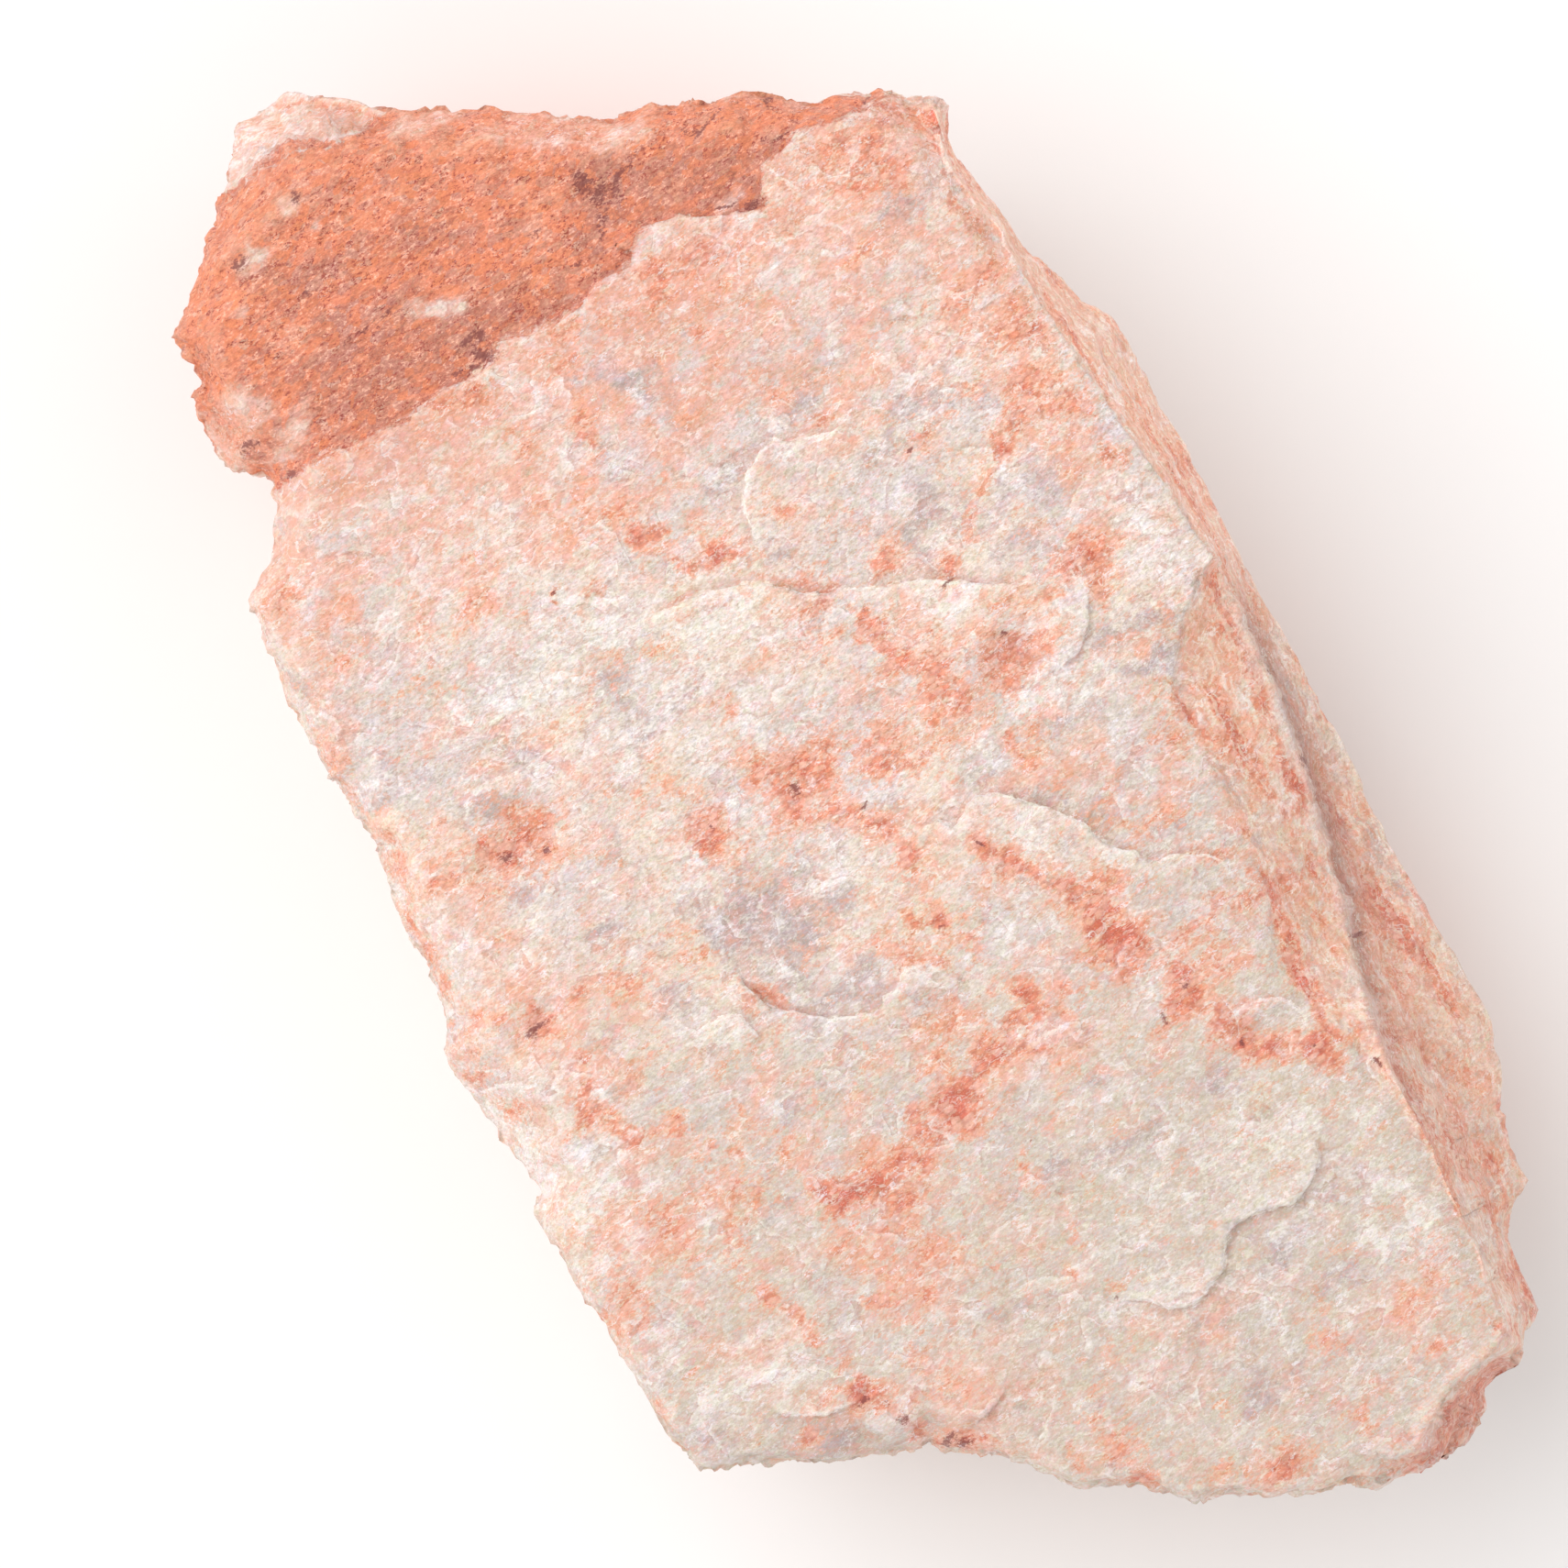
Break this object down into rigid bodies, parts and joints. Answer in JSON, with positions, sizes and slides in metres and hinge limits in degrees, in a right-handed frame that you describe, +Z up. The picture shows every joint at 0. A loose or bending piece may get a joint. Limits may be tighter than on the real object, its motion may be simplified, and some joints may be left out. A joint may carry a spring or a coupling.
{
  "type": "microcline specimen",
  "caption": "Hand-sized cleavage fragment of pale pink and white microcline feldspar: flat main face with ledges, stepped sloping side, broken ends, flat underside.",
  "frame": {"origin": "centre of the bounding box in plan, at the underside the stone rests on", "axes": "+Z up through the main cleavage face, +Y along the long cleavage edges towards the weathered end, +X towards the stepped sloping side"},
  "size_m": [0.0524, 0.0952, 0.0269],
  "materials": {
    "microcline": "satin, pearly on the cleavage faces"
  },
  "bodies": {
    "root": {"microcline_stone": "microcline"}
  },
  "joints": []
}
